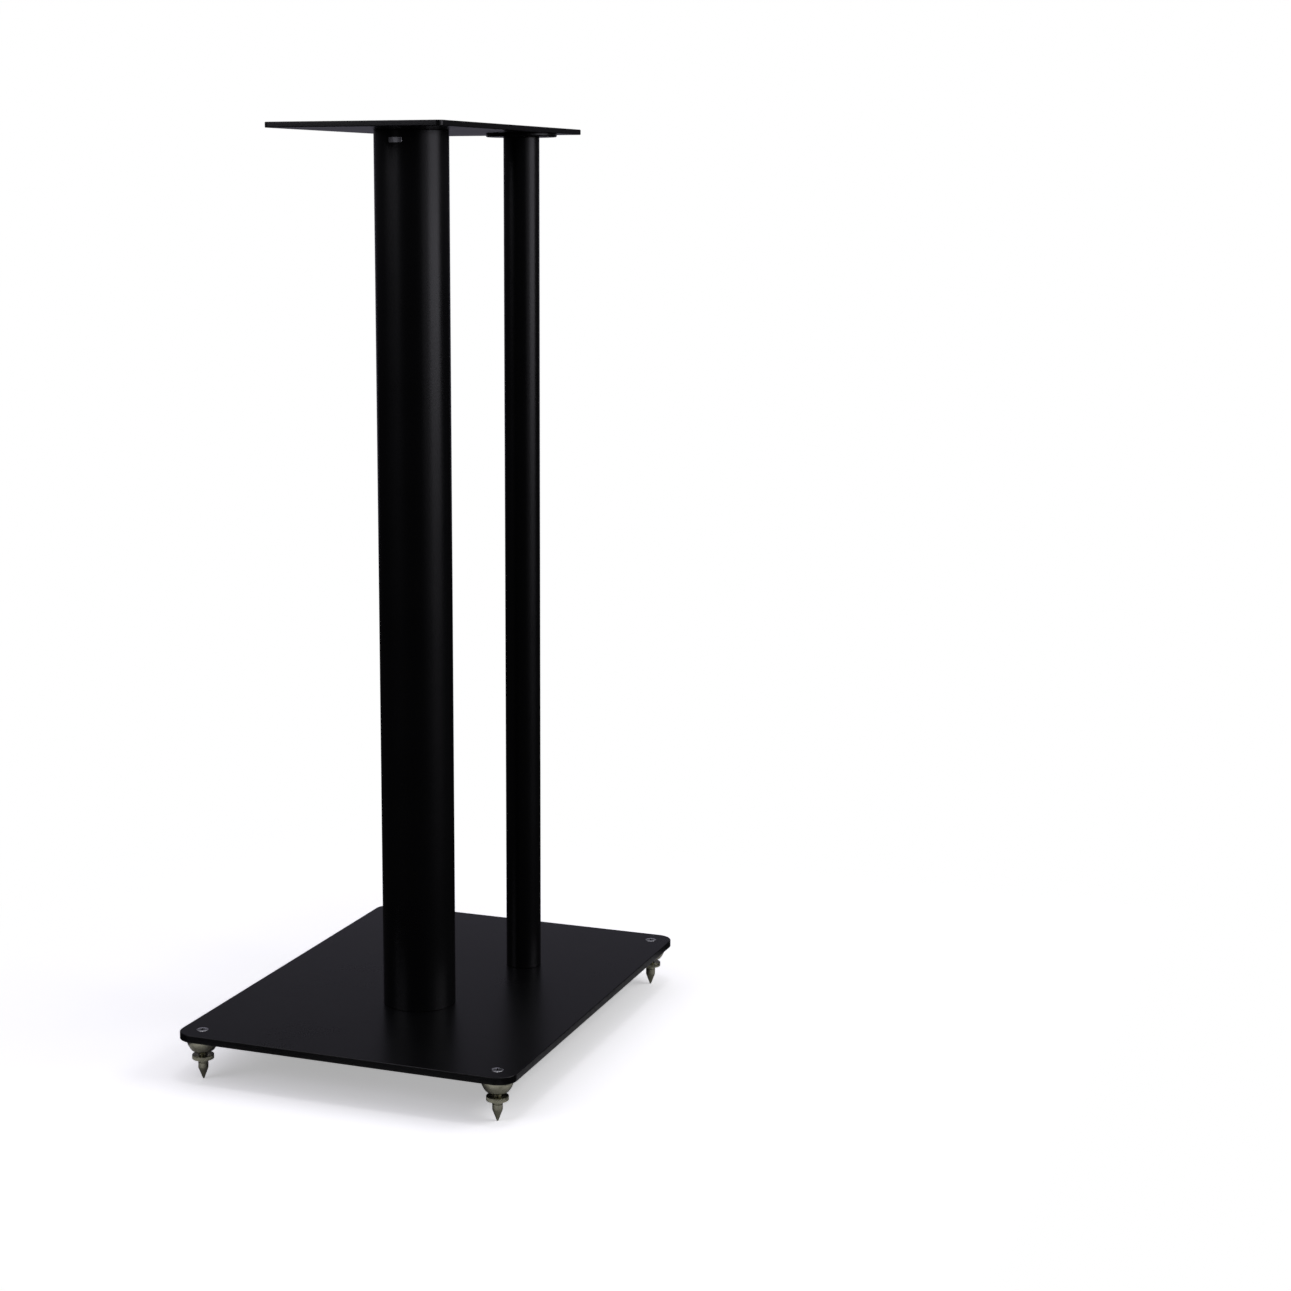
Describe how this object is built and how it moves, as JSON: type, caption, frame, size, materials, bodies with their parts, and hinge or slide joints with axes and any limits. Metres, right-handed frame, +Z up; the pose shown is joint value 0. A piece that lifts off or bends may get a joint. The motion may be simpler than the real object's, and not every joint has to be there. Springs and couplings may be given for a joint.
{
  "type": "speaker stand",
  "caption": "Floor stand for a bookshelf loudspeaker: flat top plate on a thick and a thin round column, on a steel base plate with adjustable spike feet.",
  "frame": {"origin": "on the floor, under the middle of the base plate, level with the tips of the four spikes", "axes": "+Z up; -Y to the front, the side with the thick column and the name plate; +X to the right for someone facing the front, where the thin rear column stands"},
  "size_m": [0.248, 0.334, 0.645],
  "materials": {
    "black_powder_coat": "satin black powder coat with a fine even texture",
    "nickel_plated_steel": "nickel plating over turned steel",
    "zinc_plated_steel": "bright zinc plating",
    "brushed_aluminium": "brushed, blank",
    "bare_steel": "bare machined steel, hidden inside the tubes"
  },
  "bodies": {
    "stand": {"base_plate": "black_powder_coat", "top_plate": "black_powder_coat", "front_column": "black_powder_coat", "rear_column": "black_powder_coat", "rear_column_flange": "black_powder_coat", "name_plate": "brushed_aluminium", "front_foot_plug": "bare_steel", "front_top_plug": "bare_steel", "rear_foot_plug": "bare_steel", "rear_top_plug": "bare_steel", "front_top_screw": "zinc_plated_steel", "rear_top_screw": "zinc_plated_steel", "front_foot_bolt": "zinc_plated_steel", "rear_foot_bolt": "zinc_plated_steel", "front_foot_washer": "zinc_plated_steel", "rear_foot_washer": "zinc_plated_steel", "front_spring_washer": "zinc_plated_steel", "rear_spring_washer": "zinc_plated_steel", "foot_screw_1": "zinc_plated_steel", "foot_screw_2": "zinc_plated_steel", "foot_screw_3": "zinc_plated_steel", "foot_screw_4": "zinc_plated_steel", "spike_cup_1": "nickel_plated_steel", "spike_cup_2": "nickel_plated_steel", "spike_cup_3": "nickel_plated_steel", "spike_cup_4": "nickel_plated_steel"},
    "spike_1": {"spike_1": "nickel_plated_steel"},
    "spike_2": {"spike_2": "nickel_plated_steel"},
    "spike_3": {"spike_3": "nickel_plated_steel"},
    "spike_4": {"spike_4": "nickel_plated_steel"},
    "lock_ring_1": {"lock_ring_1": "nickel_plated_steel"},
    "lock_ring_2": {"lock_ring_2": "nickel_plated_steel"},
    "lock_ring_3": {"lock_ring_3": "nickel_plated_steel"},
    "lock_ring_4": {"lock_ring_4": "nickel_plated_steel"}
  },
  "joints": [
    {"name": "spike_1_height", "type": "slide", "parent": "stand", "child": "spike_1", "axis": [0, 0, 1], "range_m": [-0.0018, 0.0024]},
    {"name": "spike_2_height", "type": "slide", "parent": "stand", "child": "spike_2", "axis": [0, 0, 1], "range_m": [-0.0018, 0.0024]},
    {"name": "spike_3_height", "type": "slide", "parent": "stand", "child": "spike_3", "axis": [0, 0, 1], "range_m": [-0.0018, 0.0024]},
    {"name": "spike_4_height", "type": "slide", "parent": "stand", "child": "spike_4", "axis": [0, 0, 1], "range_m": [-0.0018, 0.0024]},
    {"name": "lock_ring_1_turn", "type": "hinge", "parent": "spike_1", "child": "lock_ring_1", "pos_m": [-0.10925, -0.15225, 0.016], "axis": [0, 0, 1], "continuous": true},
    {"name": "lock_ring_2_turn", "type": "hinge", "parent": "spike_2", "child": "lock_ring_2", "pos_m": [0.10925, -0.15225, 0.016], "axis": [0, 0, 1], "continuous": true},
    {"name": "lock_ring_3_turn", "type": "hinge", "parent": "spike_3", "child": "lock_ring_3", "pos_m": [0.10925, 0.15225, 0.016], "axis": [0, 0, 1], "continuous": true},
    {"name": "lock_ring_4_turn", "type": "hinge", "parent": "spike_4", "child": "lock_ring_4", "pos_m": [-0.10925, 0.15225, 0.016], "axis": [0, 0, 1], "continuous": true}
  ]
}
